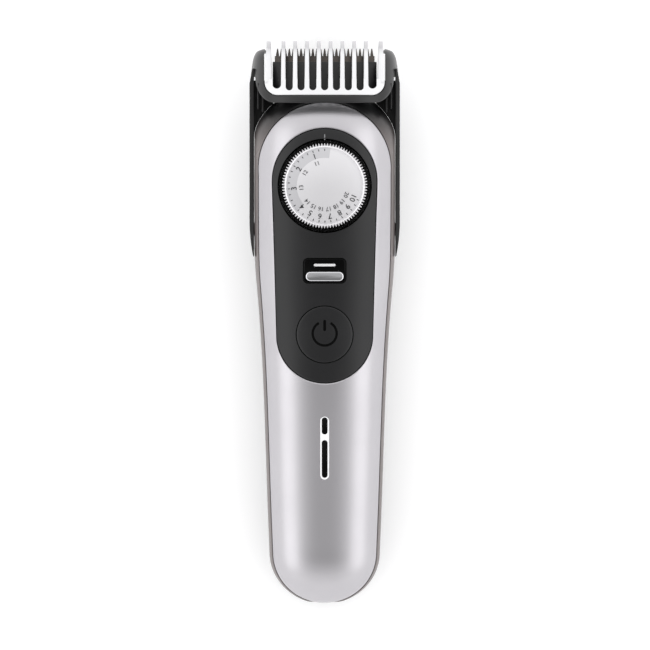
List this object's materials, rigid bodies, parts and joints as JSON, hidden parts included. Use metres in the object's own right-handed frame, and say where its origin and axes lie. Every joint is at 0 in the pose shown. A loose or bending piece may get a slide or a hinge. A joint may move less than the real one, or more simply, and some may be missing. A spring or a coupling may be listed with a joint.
{
  "type": "beard trimmer",
  "caption": "Cordless beard trimmer with a toothed steel head, a hooded length comb driven by a thumb dial, a power key, a sliding lock and a charge indicator.",
  "frame": {"origin": "middle of the trimmer's footprint as it lies on the rubber grip on its back", "axes": "+X across its width, +Y towards the comb, +Z out of the control face"},
  "size_m": [0.0452, 0.1692, 0.0377],
  "materials": {
    "silver_paint": "metallic silver paint over plastic, satin gloss",
    "bright_trim": "bright plated trim",
    "taupe_plastic": "satin taupe plastic",
    "charcoal_plastic": "fine matte dark plastic",
    "hood_plastic": "satin dark plastic",
    "black_gloss": "polished black plastic",
    "black_plastic": "moulded black plastic",
    "rubber": "soft matte rubber",
    "white_plastic": "smooth white plastic",
    "pearl_plastic": "pearl white plastic, satin",
    "blade_steel": "ground stainless steel",
    "steel": "plain drawn steel",
    "brass": "plain brass",
    "cell_sleeve": "shrink sleeve over the cell",
    "board": "green lacquered laminate"
  },
  "bodies": {
    "body": {"front_cover": "silver_paint", "side_frame": "taupe_plastic", "back_cover": "charcoal_plastic", "back_grip": "rubber", "case_screws": "steel", "seal_ring": "rubber", "control_panel": "charcoal_plastic", "dial_well": "black_gloss", "dial_bush": "brass", "detent_spring": "steel", "carriage_rails": "black_plastic", "lock_window": "black_gloss", "slide_switch": "steel", "tact_switch": "steel", "indicator_bezel": "bright_trim", "lens_upper": "black_gloss", "lens_lower": "black_gloss", "indicator_leds": "white_plastic", "head_cover": "charcoal_plastic", "head_base": "charcoal_plastic", "fixed_blade": "blade_steel", "blade_spring": "blade_steel", "motor_can": "steel", "motor_mount": "black_plastic", "battery_cell": "cell_sleeve", "battery_clips": "steel", "chassis": "black_plastic", "circuit_board": "board", "socket_shell": "black_plastic", "socket_pins": "brass"},
    "dial": {"length_dial": "pearl_plastic", "dial_shaft": "steel", "dial_pinion": "white_plastic"},
    "carriage": {"comb_carriage": "white_plastic"},
    "comb": {"comb_hood": "hood_plastic", "comb_tines": "white_plastic"},
    "lock": {"lock_slider": "bright_trim"},
    "button": {"power_button": "charcoal_plastic", "button_plunger": "charcoal_plastic"},
    "blade": {"moving_blade": "blade_steel", "drive_yoke": "white_plastic"},
    "rotor": {"motor_shaft": "steel", "eccentric_cam": "white_plastic"}
  },
  "joints": [
    {"name": "dial_turn", "type": "hinge", "parent": "body", "child": "dial", "pos_m": [0, 0.04095, 0.03], "axis": [0, 0, -1], "range_deg": [0, 247]},
    {"name": "comb_travel", "type": "slide", "parent": "body", "child": "carriage", "axis": [0, 1, 0], "range_m": [0, 0.0095]},
    {"name": "comb_pull_off", "type": "slide", "parent": "carriage", "child": "comb", "axis": [0, 1, 0], "range_m": [0, 0.066]},
    {"name": "lock_slide", "type": "slide", "parent": "body", "child": "lock", "axis": [0, 1, 0], "range_m": [0, 0.0034]},
    {"name": "power_press", "type": "slide", "parent": "body", "child": "button", "axis": [0, 0, -1], "range_m": [0, 0.0008], "stiffness_N_per_m": 700},
    {"name": "blade_stroke", "type": "slide", "parent": "body", "child": "blade", "axis": [1, 0, 0], "range_m": [-0.0011, 0.0011]},
    {"name": "motor_spin", "type": "hinge", "parent": "body", "child": "rotor", "pos_m": [0, 0.05515, 0.012], "axis": [0, 1, 0], "continuous": true}
  ],
  "couplings": [
    {"joint": "comb_travel", "follows": "dial_turn", "m_per_rad": 0.0022}
  ]
}
